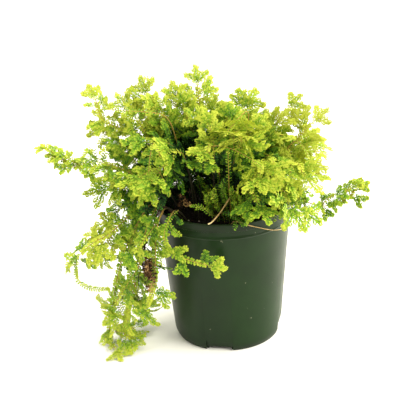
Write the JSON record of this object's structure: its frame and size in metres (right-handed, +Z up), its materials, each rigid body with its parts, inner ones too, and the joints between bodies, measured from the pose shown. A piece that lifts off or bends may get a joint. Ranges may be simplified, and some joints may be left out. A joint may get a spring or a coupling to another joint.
{
  "type": "potted spikemoss",
  "caption": "Golden trailing spikemoss in a round nursery pot: a bush of forked leafy sprays, with stems that hang over the rim and end lying on the surface below.",
  "frame": {"origin": "centre of the pot's base, on the surface that the pot stands on", "axes": "+Z up along the pot's axis, -Y towards the front, where a stem crosses the pot's face, and -X towards the side where stems trail over the rim"},
  "size_m": [0.274, 0.154, 0.2329],
  "materials": {
    "pot_plastic": "satin",
    "soil": "matte",
    "foliage": "satin",
    "withered_stem": "matte",
    "bare_stem": "satin"
  },
  "bodies": {
    "root": {"canopy_01": "foliage", "canopy_02": "foliage", "canopy_03": "foliage", "canopy_04": "foliage", "canopy_05": "foliage", "canopy_06": "foliage", "canopy_07": "foliage", "canopy_08": "foliage", "canopy_09": "foliage", "canopy_11": "foliage", "canopy_12": "foliage", "canopy_13": "foliage", "canopy_14": "foliage", "canopy_15": "foliage", "canopy_17": "foliage", "canopy_19": "foliage", "canopy_20": "foliage", "canopy_23": "foliage", "cut_stem": "bare_stem", "front_edge": "foliage", "front_high": "foliage", "front_left": "foliage", "front_low": "foliage", "front_middle": "foliage", "front_right": "foliage", "left_arm": "foliage", "left_curled": "foliage", "left_low": "foliage", "left_middle": "foliage", "left_wide": "foliage", "over_front": "foliage", "pot": "pot_plastic", "rhizophore": "bare_stem", "right_arm": "foliage", "right_front": "foliage", "right_hanging": "foliage", "right_rim": "foliage", "right_upper": "foliage", "rim_front": "foliage", "soil": "soil", "top_crest": "foliage", "top_left": "foliage", "top_middle": "foliage", "top_right": "foliage", "top_spray": "foliage", "trailing_back": "foliage", "trailing_inner": "foliage", "trailing_left": "foliage", "trailing_long": "foliage", "trailing_right": "foliage", "withered_stem": "withered_stem"}
  },
  "joints": []
}
